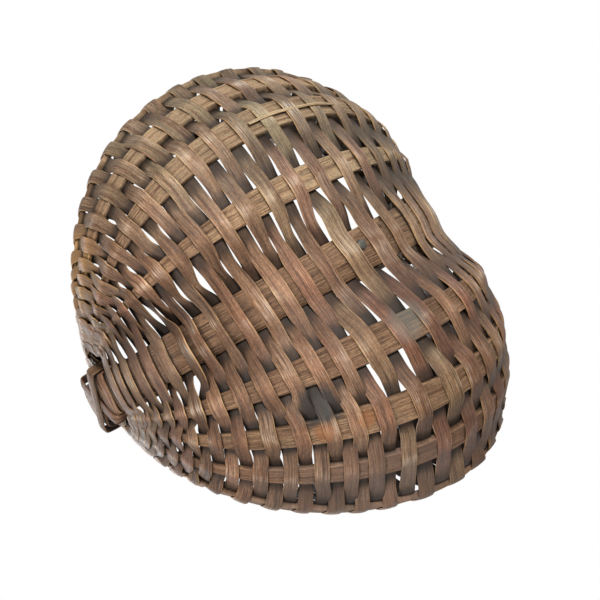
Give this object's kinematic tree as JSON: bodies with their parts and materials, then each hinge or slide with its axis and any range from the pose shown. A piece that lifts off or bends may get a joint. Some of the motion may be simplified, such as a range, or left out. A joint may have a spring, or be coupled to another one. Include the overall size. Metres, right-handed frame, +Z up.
{
  "type": "buttock basket",
  "caption": "Splint basket with two rounded lobes hung either side of a central spine, a round rim, ribs sprung between two lashed ears, and a fixed hoop handle.",
  "frame": {"origin": "on the surface it stands on, under the middle of its box", "axes": "+Z up through the mouth and the handle, X from the near ear at -X to the far ear at +X, Y across the two lobes, left lobe at -Y"},
  "size_m": [0.2698, 0.311, 0.2703],
  "materials": {
    "hoop_wood": "weathered, dry",
    "rib_wood": "weathered, shaved along the grain",
    "dark_splint": "aged, brown",
    "pale_splint": "aged, tan",
    "lashing_splint": "aged, grey brown",
    "nail_steel": "dull, oxidised"
  },
  "bodies": {
    "root": {"handle_hoop": "hoop_wood", "rim_hoop": "hoop_wood", "scarf_nail": "nail_steel", "left_rib_1": "rib_wood", "left_rib_2": "rib_wood", "left_rib_3": "rib_wood", "left_rib_4": "rib_wood", "right_rib_1": "rib_wood", "right_rib_2": "rib_wood", "right_rib_3": "rib_wood", "right_rib_4": "rib_wood", "splint_01": "dark_splint", "splint_02": "pale_splint", "splint_03": "dark_splint", "splint_04": "dark_splint", "splint_05": "pale_splint", "splint_06": "dark_splint", "splint_07": "dark_splint", "splint_08": "pale_splint", "splint_09": "dark_splint", "splint_10": "dark_splint", "splint_11": "pale_splint", "splint_12": "dark_splint", "splint_13": "dark_splint", "splint_14": "pale_splint", "splint_15": "dark_splint", "splint_16": "dark_splint", "splint_17": "pale_splint", "splint_18": "dark_splint", "splint_19": "dark_splint", "splint_20": "pale_splint", "splint_21": "dark_splint", "splint_22": "dark_splint", "splint_23": "pale_splint", "splint_24": "dark_splint", "splint_25": "dark_splint", "splint_26": "pale_splint", "splint_27": "dark_splint", "splint_28": "dark_splint", "splint_29": "pale_splint", "splint_30": "dark_splint", "splint_31": "dark_splint", "splint_32": "pale_splint", "splint_33": "dark_splint", "splint_34": "dark_splint", "splint_35": "pale_splint", "splint_36": "dark_splint", "splint_37": "dark_splint", "splint_38": "pale_splint", "splint_39": "dark_splint", "splint_40": "dark_splint", "splint_41": "pale_splint", "splint_42": "dark_splint", "splint_43": "dark_splint", "near_ear_lashing_under": "lashing_splint", "near_ear_lashing_over": "lashing_splint", "far_ear_lashing_under": "lashing_splint", "far_ear_lashing_over": "lashing_splint"}
  },
  "joints": []
}
